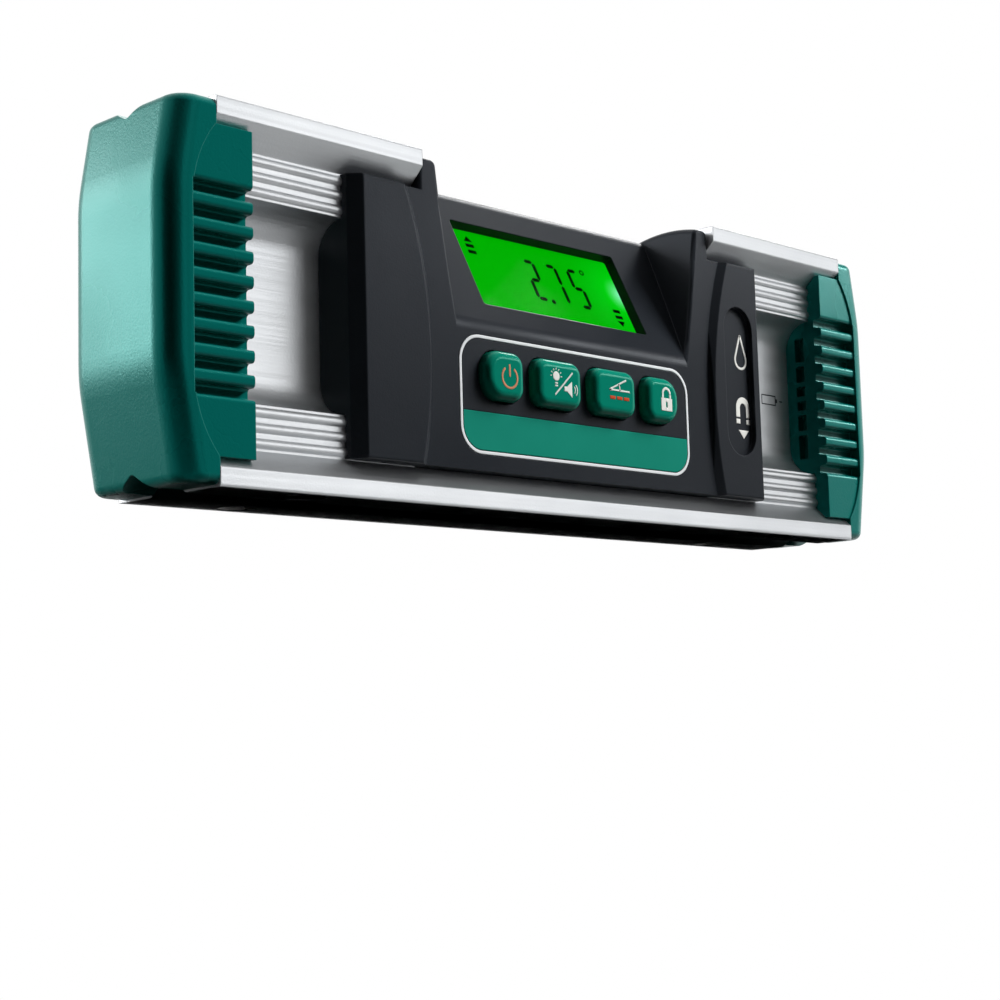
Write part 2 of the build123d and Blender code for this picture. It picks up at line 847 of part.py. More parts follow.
def band_patch(grow):
    # The green band, inside the outline, from its lower edge up to band_top
    inset = outline_line + 3 * inlay_fit - grow
    patch = RectangleRounded(outline_length - 2 * inset, outline_height - 2 * inset, outline_round - inset)
    keep = rectangle(-outline_length / 2, outline_length / 2, outline_low, band_top + grow)
    return (Pos(0, outline_middle) * patch) & keep


def panel_outline():
    return along_y(outline_ring(0), panel_y - inlay_proud, panel_y + inlay_depth)


def panel_band():
    return along_y(band_patch(0), panel_y - inlay_proud, panel_y + inlay_depth)


def button_row():
    return sum(button_lengths) + button_gap * (len(button_lengths) - 1)


def button_x(place):
    before = sum(button_lengths[:place]) + button_gap * place
    return before + button_lengths[place] / 2 - button_row() / 2


def button_outline(place, grow):
    # Rounded key shape in (X, Z). The first and last keys have rounder outer corners.
    last = len(button_names) - 1
    left_round = (button_outer_round if place == 0 else button_round) + grow
    right_round = (button_outer_round if place == last else button_round) + grow
    half = button_lengths[place] / 2 + grow
    shape = Rectangle(2 * half, button_height + 2 * grow)
    shape = fillet(shape.vertices().group_by(Axis.X)[0], left_round)
    shape = fillet(shape.vertices().group_by(Axis.X)[-1], right_round)
    return Pos(button_x(place), button_middle) * shape


def button(place):
    body = along_y(button_outline(place, 0), button_front, flange_front)
    rim = body.faces().sort_by(Axis.Y)[0].edges()
    body = fillet(rim, button_dome)
    return body + along_y(button_outline(place, button_flange), flange_front, flange_back)


def keypad_mat():
    # Silicone seal round the buttons, against the inside of the panel
    reach = button_flange + mat_fit + mat_margin
    half_length = button_row() / 2 + reach
    height = button_height + 2 * reach
    sheet = Pos(0, button_middle) * RectangleRounded(2 * half_length, height, button_outer_round)
    for place in range(len(button_names)):
        sheet -= button_outline(place, button_flange + mat_fit)
    return along_y(sheet, panel_inside, flange_back)


def board_high():
    return face_point(frame_low, guide_back)[1] - board_head_room


def board_screw_places():
    rows = (board_low + boss_inset, board_high() - boss_inset)
    return [(side * (board_half - boss_inset), z) for side in (-1, 1) for z in rows]


def main_board():
    plate = rectangle(-board_half, board_half, board_low, board_high())
    body = along_y(plate, board_front, board_back)
    for x, z in board_screw_places():
        body -= rod_y(x, z, board_screw_diameter + 2 * screw_fit, board_front - past, board_back + past)
    return body


def board_screws():
    screws = []
    for x, z in board_screw_places():
        screw = rod_y(x, z, board_screw_head, board_back, board_back + board_screw_head_height)
        screw += rod_y(x, z, board_screw_diameter, board_back - board_screw_length + screw_fit, board_back)
        screws.append(screw)
    return Compound(children=screws)


def tact_switches():
    switches = []
    for place in range(len(button_names)):
        base = Pos(button_x(place), button_middle) * Rectangle(switch_size, switch_size)
        switch = along_y(base, switch_front, board_front)
        switch += rod_y(button_x(place), button_middle, plunger_diameter, plunger_front, switch_front)
        switches.append(switch)
    return Compound(children=switches)


def board_chip(side, size, height):
    # A square chip between the screws at one end of the board, on its rear
    place = (side * (board_half - chip_inset), (board_low + board_high()) / 2)
    return along_y(Pos(*place) * Rectangle(size, size), board_back, board_back + height)


def buzzer():
    # On the rear wall, above the battery bay and beside the display frame
    x = (frame_half + cavity_half) / 2
    z = (bay_top + brow_height - wall) / 2
    return rod_y(x, z, buzzer_diameter, back_inside - buzzer_height, back_inside)


def battery_cell(place):
    # The positive end of the lower cell points right, of the upper one left
    can = Rot(0, 90, 0) * Cylinder(cell_diameter / 2, cell_length - cell_nub_length)
    nub = Rot(0, 90, 0) * Cylinder(cell_nub_diameter / 2, cell_nub_length)
    cell = Pos(-cell_nub_length / 2, 0, 0) * can + Pos((cell_length - cell_nub_length) / 2, 0, 0) * nub
    turn = 180 * place
    return Pos(0, cell_y, cell_levels[place]) * Rot(0, 0, turn) * cell


def battery_contacts(side):
    # Two bent plates at one end of the bay, with a pressed bump and a tail to the board
    plates = []
    for level in cell_levels:
        outer = side * bay_half
        inner = side * (bay_half - contact_thickness)
        x0, x1 = sorted((outer, inner))
        leaf = rectangle(x0, x1, level - contact_width / 2, level + contact_width / 2)
        plate = along_y(leaf, bay_floor, cell_y + contact_width / 2)
        tip = side * cell_length / 2
        bump = Cylinder(cell_nub_diameter / 2, abs(inner - tip))
        plate += Pos((inner + tip) / 2, cell_y, level) * Rot(0, 90, 0) * bump
        tail = rectangle(x0, x1, level - contact_tail / 2, level + contact_tail / 2)
        plate += along_y(tail, board_back, bay_floor)
        plates.append(plate)
    return Compound(children=plates)


def battery_door():
    body = along_y(door_outline(0), door_inside, back_y)
    for side in (-1, 1):
        x = side * door_screw_x
        seat_y = back_y - door_screw_head_height
        body -= rod_y(x, bay_middle, door_screw_head + 2 * door_screw_fit, seat_y, back_y + past)
        body -= rod_y(x, bay_middle, door_screw_diameter + 2 * door_screw_fit, door_inside - past, seat_y)
    return body


def door_screw(side):
    # Captive screw with a coin slot
    x = side * door_screw_x
    head_y = back_y - door_screw_head_height
    body = rod_y(x, bay_middle, door_screw_head, head_y, back_y)
    body += rod_y(x, bay_middle, door_screw_diameter, door_inside - door_screw_length, head_y)
    slot = Pos(x, bay_middle) * Rectangle(door_screw_head + past, door_screw_slot)
    return body - along_y(slot, back_y - door_screw_slot_depth, back_y + past)


def build():
    right_cap = end_cap()
    nodes = {
        "rail": rail(),
        "left_end_cap": mirrored(right_cap),
        "right_end_cap": right_cap,
        "base_magnets": base_magnets(),
        "front_housing": front_housing(),
        "rear_housing": rear_housing(),
        "housing_gasket": housing_gasket(),
        "housing_screws": housing_screws(),
        "display_window": display_window(),
        "display_frame": display_frame(),
        "lcd_panel": lcd_panel(),
        "lcd_ribbon": lcd_ribbon(),
        "backlight_guide": backlight_guide(),
        "backlight_led": backlight_led(),
        "panel_outline": panel_outline(),
        "panel_band": panel_band(),
        "keypad_mat": keypad_mat(),
        "main_board": main_board(),
        "board_screws": board_screws(),
        "tact_switches": tact_switches(),
        "tilt_sensor": board_chip(-1, sensor_size, sensor_height),
        "controller_chip": board_chip(1, chip_size, chip_height),
        "buzzer": buzzer(),
        "battery_cell_lower": battery_cell(0),
        "battery_cell_upper": battery_cell(1),
        "battery_contacts_left": battery_contacts(-1),
        "battery_contacts_right": battery_contacts(1),
        "battery_door": battery_door(),
        "door_gasket": door_gasket(),
        "door_screw_left": door_screw(-1),
        "door_screw_right": door_screw(1),
    }
    for place, name in enumerate(button_names):
        nodes[name] = button(place)
    return nodes


os.makedirs("parts", exist_ok=True)
for node_name, shape in build().items():
    export_step(shape, f"parts/{node_name}.step")
    print(node_name, len(shape.solids()), round(shape.volume, 1))
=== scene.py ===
import math

import bmesh
import bpy
from mathutils import Matrix, Vector


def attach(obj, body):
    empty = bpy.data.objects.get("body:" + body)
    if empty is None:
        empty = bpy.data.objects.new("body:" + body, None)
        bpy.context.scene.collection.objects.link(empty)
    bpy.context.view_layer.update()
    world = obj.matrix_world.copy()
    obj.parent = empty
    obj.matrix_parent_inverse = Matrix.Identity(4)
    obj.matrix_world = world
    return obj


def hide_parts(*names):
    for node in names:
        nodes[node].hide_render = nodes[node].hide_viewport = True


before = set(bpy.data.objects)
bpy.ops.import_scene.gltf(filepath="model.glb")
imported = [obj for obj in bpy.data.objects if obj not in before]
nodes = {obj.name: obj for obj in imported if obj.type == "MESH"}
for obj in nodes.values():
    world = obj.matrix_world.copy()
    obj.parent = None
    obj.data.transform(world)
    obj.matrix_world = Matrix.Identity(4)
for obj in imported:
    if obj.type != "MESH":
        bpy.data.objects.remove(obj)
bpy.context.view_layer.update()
mm = 0.001
print("frame loaded,", len(nodes), "nodes")


def linear(text):
    # sRGB hex to the linear colour that shaders use
    parts = [int(text[i:i + 2], 16) / 255 for i in (1, 3, 5)]
    return [p / 12.92 if p <= 0.04045 else ((p + 0.055) / 1.055) ** 2.4 for p in parts] + [1]


def addNode(tree, kind, inputs={}, **settings):
    # one node, its settings, and its inputs as values or as sockets to link
    node = tree.nodes.new(kind)
    for name, value in settings.items():
        setattr(node, name, value)
    for name, value in inputs.items():
        if isinstance(value, bpy.types.NodeSocket):
            tree.links.new(value, node.inputs[name])
        else:
            node.inputs[name].default_value = value
    return node


def newMaterial(name, shader):
    material = bpy.data.materials.new(name)
    material.use_nodes = True
    tree = material.node_tree
    tree.nodes.clear()
    surface = addNode(tree, "ShaderNodeBsdfPrincipled", shader)
    addNode(tree, "ShaderNodeOutputMaterial", {"Surface": surface.outputs["BSDF"]})
    place = addNode(tree, "ShaderNodeTexCoord").outputs["Object"]
    return material, tree, surface, place


def perMm(size):
    # pattern scale for a feature of this many millimetres
    return 1 / (size * mm)


# camera, at the angle and distance of the photograph, in mm
camera = {
    "spot": (-254.76, -238.82, -35.99),
    "right": (0.69956, -0.71402, -0.02794),
    "forward": (0.71176, 0.69282, 0.11576),
    "lens": 68.98,
    "sensor": 36,
    "near": 10,
}
eye = bpy.data.cameras.new("camera")
eye.lens = camera["lens"]
eye.sensor_width = camera["sensor"]
eye.clip_start = camera["near"] * mm
viewer = bpy.data.objects.new("camera", eye)
bpy.context.scene.collection.objects.link(viewer)
ahead = Vector(camera["forward"]).normalized()
right = Vector(camera["right"]).normalized()
turn = Matrix((right, right.cross(ahead), -ahead)).transposed().to_4x4()
viewer.matrix_world = Matrix.Translation(Vector(camera["spot"]) * mm) @ turn
bpy.context.scene.camera = viewer
bpy.context.scene.view_settings.view_transform = "Standard"
print("camera set")


# studio: white surroundings, soft boxes round the object, dark cards that only the gloss sees
# colour and gloss have boxes of their own where one lamp would not suit both
studio = {
    "floorColour": "#b4b4b4",
    "floorSize": 3.0,
    "floorGap": 0.2,  # mm below the base, so that the two never share a plane
    "floorFade": (0.22, 0.75),  # the paper turns to plain white between these distances, in metres
    "fill": 0.02,  # what the surroundings add to colour
    "surround": 1.0,  # what the camera, the gloss and the glass see of them
    "boxes": {
        # name: place in mm, aim in mm, width and height in mm, brightness, whether colour and gloss see it
        "leftBox": ((-631, 790, 280), (-91, 0, 35), (400, 400), 28.0, True, False),
        "leftShine": ((-631, 790, 325), (-91, 0, 35), (400, 400), 7.0, False, True),
        "rightShine": ((600, -760, 260), (0, 0, 30), (800, 900), 2.2, False, True),
        "frontBox": ((660, -440, 620), (0, 0, 30), (420, 260), 64.0, True, False),
        "foldShine": ((640, -505, 370), (0, -12, 32), (460, 110), 11.0, False, True),
        "capShine": ((725, -404, 316), (85, -12, 40), (200, 140), 9.0, False, True),
        "topBox": ((0, 150, 800), (0, 0, 40), (900, 600), 0.4, True, True),
        "rearBox": ((520, 560, 300), (0, 0, 30), (700, 600), 1.2, True, True),
        "edgeBox": ((640, 180, 650), (0, 0, 40), (240, 160), 15.0, True, True),
    },
    "only": {
        # boxes that reach some pieces only: white for the metal, which would veil the plastics,
        # and highlights for the housing's fold, the keys and the right-hand cap
        "rightShine": ["rail", "housing_screws", "door_screw_left", "door_screw_right", "base_magnets"],
        "foldShine": [
            "front_housing", "right_end_cap",
            "power_button", "light_button", "mode_button", "hold_button",
        ],
        "capShine": ["right_end_cap"],
    },
    "cards": {
        # name: place in mm, aim in mm, width and height in mm
        # the low ones lie just over the floor, and shineBacking gives the plastics black behind rightShine
        "cameraSideCard": ((-450, -430, 40), (0, 0, 30), (900, 800)),
        "highCard": ((440, -140, 440), (0, 0, 45), (420, 300)),
        "lowCard": ((260, -400, 2), (260, -400, 100), (900, 600)),
        "rightLowCard": ((150, -30, 1), (150, -30, 100), (200, 24)),
        "leftLowCard": ((-560, 560, 2), (-560, 560, 100), (800, 900)),
        "shineBacking": ((900, -1140, 375), (0, 0, 30), (1250, 1400)),
    },
    "cardColour": "#060606",
}


def facing(spot, aim):
    return (Vector(aim) - Vector(spot)).to_track_quat("-Z", "Y")


def buildStudio():
    world = bpy.data.worlds.new("studio")
    bpy.context.scene.world = world
    world.use_nodes = True
    tree = world.node_tree
    tree.nodes.clear()
    path = addNode(tree, "ShaderNodeLightPath").outputs
    seen = addNode(
        tree, "ShaderNodeMath",
        {0: path["Is Camera Ray"], 1: path["Is Glossy Ray"]}, operation="ADD",
    )
    seen = addNode(
        tree, "ShaderNodeMath",
        {0: seen.outputs[0], 1: path["Is Transmission Ray"]}, operation="ADD", use_clamp=True,
    )
    plain = linear("#ffffff")
    fill = addNode(tree, "ShaderNodeBackground", {"Color": plain, "Strength": studio["fill"]})
    white = addNode(tree, "ShaderNodeBackground", {"Color": plain, "Strength": studio["surround"]})
    both = addNode(
        tree, "ShaderNodeMixShader",
        {0: seen.outputs[0], 1: fill.outputs[0], 2: white.outputs[0]},
    )
    addNode(tree, "ShaderNodeOutputWorld", {"Surface": both.outputs[0]})

    for name, (spot, aim, size, bright, colour, gloss) in studio["boxes"].items():
        light = bpy.data.lights.new(name, "AREA")
        light.shape = "RECTANGLE"
        light.size = size[0] * mm
        light.size_y = size[1] * mm
        light.energy = bright * math.pi * light.size * light.size_y
        lamp = bpy.data.objects.new(name, light)
        bpy.context.scene.collection.objects.link(lamp)
        lamp.location = Vector(spot) * mm
        lamp.rotation_mode = "QUATERNION"
        lamp.rotation_quaternion = facing(spot, aim)
        lamp.visible_diffuse = colour
        lamp.visible_glossy = gloss
        if name in studio["only"]:
            lit = bpy.data.collections.new(name)
            for piece in studio["only"][name]:
                lit.objects.link(nodes[piece])
            lamp.light_linking.receiver_collection = lit

    # velvet: a pile that swallows nearly all light, with no gloss
    velvet = newMaterial(
        "blackVelvetCard",
        {"Base Color": linear(studio["cardColour"]), "Roughness": 1.0, "Specular IOR Level": 0.0},
    )[0]
    for name, (spot, aim, size) in studio["cards"].items():
        mesh = bmesh.new()
        turned = Matrix.Translation(Vector(spot) * mm) @ facing(spot, aim).to_matrix().to_4x4()
        wide = Matrix.Diagonal((size[0] * mm, size[1] * mm, 1, 1))
        bmesh.ops.create_grid(mesh, x_segments=1, y_segments=1, size=0.5, matrix=turned @ wide)
        data = bpy.data.meshes.new(name)
        mesh.to_mesh(data)
        mesh.free()
        data.materials.append(velvet)
        card = bpy.data.objects.new(name, data)
        bpy.context.scene.collection.objects.link(card)
        card.visible_camera = False
        card.visible_diffuse = False
        card.visible_shadow = False

    # uncoated paper: matt, so it takes soft shadows and no reflection
    # it shows only from above: the photograph looks up past it
    paper, tree, surface, place = newMaterial(
        "whitePaperFloor",
        {"Base Color": linear(studio["floorColour"]), "Roughness": 1.0, "Specular IOR Level": 0.0},
    )
    far = addNode(tree, "ShaderNodeVectorMath", {0: place}, operation="LENGTH")
    fade = addNode(
        tree, "ShaderNodeMapRange",
        {
            "Value": far.outputs["Value"],
            "From Min": studio["floorFade"][0], "From Max": studio["floorFade"][1],
        },
        interpolation_type="SMOOTHSTEP",
    )
    white = addNode(tree, "ShaderNodeEmission", {"Color": plain, "Strength": studio["surround"]})
    sheet = addNode(
        tree, "ShaderNodeMixShader",
        {0: fade.outputs["Result"], 1: surface.outputs["BSDF"], 2: white.outputs["Emission"]},
    )
    clear = addNode(tree, "ShaderNodeBsdfTransparent")
    side = addNode(tree, "ShaderNodeNewGeometry")
    ways = addNode(
        tree, "ShaderNodeMixShader",
        {0: side.outputs["Backfacing"], 1: sheet.outputs[0], 2: clear.outputs["BSDF"]},
    )
    out = next(n for n in tree.nodes if n.type == "OUTPUT_MATERIAL")
    tree.links.new(ways.outputs[0], out.inputs["Surface"])
    mesh = bmesh.new()
    under = Matrix.Translation((0, 0, -studio["floorGap"] * mm))
    half = studio["floorSize"] / 2
    bmesh.ops.create_grid(mesh, x_segments=1, y_segments=1, size=half, matrix=under)
    data = bpy.data.meshes.new("floor")
    mesh.to_mesh(data)
    mesh.free()
    data.materials.append(paper)
    floor = bpy.data.objects.new("floor", data)
    bpy.context.scene.collection.objects.link(floor)
    floor.visible_diffuse = False


buildStudio()
print("studio lit")


# what the grained finishes share: where a noise's values mostly lie, and how strongly grain and edges show
grained = {"noiseLow": 0.3, "noiseHigh": 0.7, "bump": 0.5, "flowSize": 24, "edge": 0.25, "edgeSamples": 6}


# aluminium extruded, blasted and anodised: a satin white metal, its reflections soft and drawn along the rail
# die lines and grain are drawn coarser than real ones, so that they show
def railAluminium():
    look = {
        "light": "#c9cbcd", "dark": "#b6b9bc", "cloudSize": 18, "lineGap": 0.35, "lineLength": 60,
        "lineShare": 0.3, "grainSize": 0.4, "depth": 0.06, "smooth": 0.36, "rough": 0.46,
    }
    material, tree, surface, place = newMaterial("satinAnodisedAluminium", {"Metallic": 1.0})
    along = (perMm(look["lineLength"]), perMm(look["lineGap"]), perMm(look["lineGap"]))
    stretched = addNode(tree, "ShaderNodeMapping", {"Vector": place, "Scale": along})
    lines = addNode(
        tree, "ShaderNodeTexNoise", {"Vector": stretched.outputs[0], "Scale": 1.0, "Detail": 3.0}
    )
    grain = addNode(
        tree, "ShaderNodeTexNoise", {"Vector": place, "Scale": perMm(look["grainSize"]), "Detail": 2.0}
    )
    clouds = addNode(
        tree, "ShaderNodeTexNoise", {"Vector": place, "Scale": perMm(look["cloudSize"]), "Detail": 3.0}
    )
    tone = addNode(
        tree, "ShaderNodeMix",
        {"Factor": clouds.outputs["Fac"], "A": linear(look["light"]), "B": linear(look["dark"])},
        data_type="RGBA",
    )
    shine = addNode(
        tree, "ShaderNodeMapRange",
        {
            "Value": lines.outputs["Fac"], "From Min": grained["noiseLow"], "From Max": grained["noiseHigh"],
            "To Min": look["smooth"], "To Max": look["rough"],
        },
    )
    relief = addNode(
        tree, "ShaderNodeMath",
        {0: lines.outputs["Fac"], 1: look["lineShare"], 2: grain.outputs["Fac"]}, operation="MULTIPLY_ADD",
    )
    edge = addNode(tree, "ShaderNodeBevel", {"Radius": grained["edge"] * mm}, samples=grained["edgeSamples"])
    bump = addNode(
        tree, "ShaderNodeBump",
        {
            "Strength": grained["bump"], "Distance": look["depth"] * mm, "Height": relief.outputs[0],
            "Normal": edge.outputs["Normal"],
        },
    )
    tree.links.new(tone.outputs["Result"], surface.inputs["Base Color"])
    tree.links.new(shine.outputs["Result"], surface.inputs["Roughness"])
    tree.links.new(bump.outputs["Normal"], surface.inputs["Normal"])
    return material


# plastic from a textured mould, ink or plating: an even fine grain and a slow drift of tone, which soften
# highlights; the grain is drawn coarser than real ones, so that it shows
def grainedFinish(name, light, dark, smooth, rough, grainSize, depth, shader={}):
    material, tree, surface, place = newMaterial(name, shader)
    grain = addNode(tree, "ShaderNodeTexNoise", {"Vector": place, "Scale": perMm(grainSize), "Detail": 3.0})
    flow = addNode(
        tree, "ShaderNodeTexNoise", {"Vector": place, "Scale": perMm(grained["flowSize"]), "Detail": 4.0}
    )
    tone = addNode(
        tree, "ShaderNodeMix",
        {"Factor": flow.outputs["Fac"], "A": linear(light), "B": linear(dark)}, data_type="RGBA",
    )
    shine = addNode(
        tree, "ShaderNodeMapRange",
        {
            "Value": flow.outputs["Fac"], "From Min": grained["noiseLow"], "From Max": grained["noiseHigh"],
            "To Min": smooth, "To Max": rough,
        },
    )
    edge = addNode(tree, "ShaderNodeBevel", {"Radius": grained["edge"] * mm}, samples=grained["edgeSamples"])
    bump = addNode(
        tree, "ShaderNodeBump",
        {
            "Strength": grained["bump"], "Distance": depth * mm, "Height": grain.outputs["Fac"],
            "Normal": edge.outputs["Normal"],
        },
    )
    tree.links.new(tone.outputs["Result"], surface.inputs["Base Color"])
    tree.links.new(shine.outputs["Result"], surface.inputs["Roughness"])
    tree.links.new(bump.outputs["Normal"], surface.inputs["Normal"])
    return material


# printed shrink sleeve of a cell: dark and smooth, with a copper band at its positive end
# the poles at both ends are bare steel
def cellSleeve(name, way):
    look = {
        "film": ("#2b2d31", "#232529", 0.22, 0.3, 0.4, 0.004),
        "band": 9.0, "nub": 21.4, "base": -21.9, "copper": "#b0703e", "steel": "#c4c6c8",
    }
    material = grainedFinish(name, *look["film"])
    tree = material.node_tree
    surface = next(n for n in tree.nodes if n.type == "BSDF_PRINCIPLED")
    place = next(n for n in tree.nodes if n.type == "TEX_COORD").outputs["Object"]
    along = addNode(tree, "ShaderNodeVectorMath", {0: place, 1: (way / mm, 0, 0)}, operation="DOT_PRODUCT")
    along = along.outputs["Value"]
    band = addNode(tree, "ShaderNodeMath", {0: along, 1: look["band"]}, operation="GREATER_THAN").outputs[0]
    nub = addNode(tree, "ShaderNodeMath", {0: along, 1: look["nub"]}, operation="GREATER_THAN").outputs[0]
    base = addNode(tree, "ShaderNodeMath", {0: along, 1: look["base"]}, operation="LESS_THAN").outputs[0]
    poles = addNode(tree, "ShaderNodeMath", {0: nub, 1: base}, operation="ADD").outputs[0]
    tone = surface.inputs["Base Color"].links[0].from_socket
    for share, colour in ((band, look["copper"]), (poles, look["steel"])):
        mix = addNode(
            tree, "ShaderNodeMix",
            {"Factor": share, "A": tone, "B": linear(colour)}, data_type="RGBA",
        )
        tone = mix.outputs["Result"]
    tree.links.new(tone, surface.inputs["Base Color"])
    tree.links.new(poles, surface.inputs["Metallic"])
    return material


finishes = {
    # name, light and dark colour, least and most roughness, grain size and depth in mm, other sockets
    "rail": railAluminium(),
    # polypropylene from a finely eroded mould: deep teal, with a satin sheen that stays teal
    "cap": grainedFinish(
        "satinPolypropylene", "#05655e", "#045a53", 0.23, 0.31, 0.4, 0.05,
        {"Specular IOR Level": 0.55, "Specular Tint": linear("#18fff2")},
    ),
    # nylon with glass fibre, moulded matt: blue-black, with faint wide highlights
    "housing": grainedFinish(
        "charcoalGlassFilledNylon", "#1c1f24", "#15181c", 0.32, 0.44, 0.3, 0.03,
        {"Specular IOR Level": 0.19, "Specular Tint": linear("#dbe6f5")},
    ),
    # silicone pressed in smooth moulds: clean green, with small highlights on the rounded keys
    "button": grainedFinish(
        "siliconeRubber", "#07806a", "#056e5a", 0.14, 0.22, 0.5, 0.006,
        {"Specular IOR Level": 0.16, "Specular Tint": linear("#28ffd8")},
    ),
    # black silicone: matt and almost without highlights
    "seal": grainedFinish("blackSilicone", "#17181a", "#101112", 0.5, 0.6, 0.3, 0.01),
    # screen inks: thin, flat and even, duller than the plastic under them
    "outline": grainedFinish(
        "paleScreenInk", "#e4e7e8", "#d9dddf", 0.45, 0.55, 0.25, 0.006, {"Specular IOR Level": 0.3}
    ),
    "band": grainedFinish(
        "greenScreenInk", "#1f8a76", "#137663", 0.35, 0.45, 0.25, 0.006, {"Specular IOR Level": 0.05}
    ),
    # steel with a dulled zinc plate: grey metal, unevenly bright
    "steel": grainedFinish(
        "zincPlatedSteel", "#b9bbbd", "#a3a6a9", 0.25, 0.38, 0.2, 0.006, {"Metallic": 1.0}
    ),
    # nickel plate: brighter and warmer than zinc
    "magnet": grainedFinish(
        "nickelPlating", "#c9c8c4", "#b7b5b0", 0.18, 0.3, 0.3, 0.004, {"Metallic": 1.0}
    ),
    # glass laminate under lacquer: deep green with a soft gloss
    "board": grainedFinish("solderMaskLaminate", "#12543a", "#0d4530", 0.35, 0.5, 0.6, 0.01),
    # filled epoxy: dull black
    "chip": grainedFinish("mouldedEpoxy", "#1d1e20", "#151617", 0.5, 0.6, 0.15, 0.01),
    # clouded polycarbonate: even white
    "white": grainedFinish("whitePolycarbonate", "#e4e6e2", "#d9dcd8", 0.3, 0.4, 0.3, 0.005),
    # rolled polyimide: smooth amber film
    "ribbon": grainedFinish("polyimideFilm", "#b5711f", "#a46418", 0.3, 0.4, 0.5, 0.004),
    # stamped brass under thin nickel: pale metal with a yellow cast
    "brass": grainedFinish(
        "nickelPlatedBrass", "#c8c2a8", "#b3ac90", 0.25, 0.35, 0.3, 0.004, {"Metallic": 1.0}
    ),
    "cellRight": cellSleeve("cellSleeveRight", 1),
    "cellLeft": cellSleeve("cellSleeveLeft", -1),
}
wears = {
    "rail": ["rail"],
    "cap": ["left_end_cap", "right_end_cap"],
    "housing": ["front_housing", "rear_housing", "battery_door", "display_frame"],
    "button": ["power_button", "light_button", "mode_button", "hold_button"],
    "seal": ["housing_gasket", "door_gasket", "keypad_mat"],
    "outline": ["panel_outline"],
    "band": ["panel_band"],
    "steel": ["housing_screws", "board_screws", "door_screw_left", "door_screw_right"],
    "magnet": ["base_magnets"],
    "board": ["main_board"],
    "chip": ["tilt_sensor", "controller_chip", "buzzer", "tact_switches"],
    "white": ["backlight_guide", "backlight_led"],
    "ribbon": ["lcd_ribbon"],
    "brass": ["battery_contacts_left", "battery_contacts_right"],
    "cellRight": ["battery_cell_lower"],
    "cellLeft": ["battery_cell_upper"],
}
for finish, names in wears.items():
    for name in names:
        nodes[name].data.materials.clear()
        nodes[name].data.materials.append(finishes[finish])
print("materials made")


# the display face: x along the rail, y up the face, z out of it, in mm from the bend
face = {"panel": -11.9, "bend": 32.1, "setback": 13.3, "rise": 26.8}
lean = math.atan2(face["setback"], face["rise"])
facePlace = (
    Matrix.Translation(Vector((0, face["panel"], face["bend"])) * mm)
    @ Matrix.Rotation(math.pi / 2 - lean, 4, "X")
    @ Matrix.Scale(mm, 4)
)


def frontPlace(y):
    # a drawing on a plane that faces the front: x along the rail, y up, in mm
    return (
        Matrix.Translation(Vector((0, y, 0)) * mm)
        @ Matrix.Rotation(math.pi / 2, 4, "X")
        @ Matrix.Scale(mm, 4)
    )


def addPiece(name, mesh, place, material, body="level"):
    bmesh.ops.transform(mesh, matrix=place, verts=mesh.verts)
    bmesh.ops.recalc_face_normals(mesh, faces=mesh.faces)
    data = bpy.data.meshes.new(name)
    mesh.to_mesh(data)
    mesh.free()
    data.materials.append(material)
    piece = bpy.data.objects.new(name, data)
    bpy.context.scene.collection.objects.link(piece)
    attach(piece, body)
    return piece


def addBar(mesh, start, end, width):
    # a flat bar from one point to another
    a, b = Vector((*start, 0)), Vector((*end, 0))
    run = b - a
    place = (
        Matrix.Translation((a + b) / 2)
        @ Matrix.Rotation(math.atan2(run.y, run.x), 4, "Z")
        @ Matrix.Diagonal((run.length, width, 1, 1))
    )
    bmesh.ops.create_grid(mesh, x_segments=1, y_segments=1, size=0.5, matrix=place)


def addDisc(mesh, middle, radius, steps=24):
    place = Matrix.Translation((*middle, 0))
    bmesh.ops.create_circle(mesh, cap_ends=True, segments=steps, radius=radius, matrix=place)


def addArc(mesh, middle, radius, width, start, sweep, steps=32):
    # part of a flat ring, from an angle and through a sweep in degrees
    turned = Matrix.Rotation(math.radians(start), 3, "Z")
    ends = [
        mesh.verts.new(Vector((*middle, 0)) + turned @ Vector((r, 0, 0)))
        for r in (radius - width / 2, radius + width / 2)
    ]
    edge = mesh.edges.new(ends)
    bmesh.ops.spin(
        mesh, geom=[*ends, edge], cent=(*middle, 0), axis=(0, 0, 1),
        angle=math.radians(sweep), steps=steps, use_merge=sweep == 360, use_duplicate=False,
    )


def addShape(mesh, points):
    mesh.faces.new([mesh.verts.new((*p, 0)) for p in points])


def thicken(mesh, low, high):
    # flat shapes become plates from one height to another
    bmesh.ops.translate(mesh, vec=(0, 0, low), verts=mesh.verts)
    grown = bmesh.ops.extrude_face_region(mesh, geom=mesh.faces[:])["geom"]
    lifted = [g for g in grown if isinstance(g, bmesh.types.BMVert)]
    bmesh.ops.translate(mesh, vec=(0, 0, high - low), verts=lifted)


# window: clear acrylic pane, bare of scratches, seen by its reflections
window = {
    "length": 47.0, "height": 21.92, "middle": 14.26, "front": 2.0, "back": 2.9, "corner": 1.2, "edge": 0.12,
    "hazeSize": 6.0, "haze": 0.03,
    "bend": 1.12,  # below that of bare acrylic, since the coating takes most of the reflection away
}


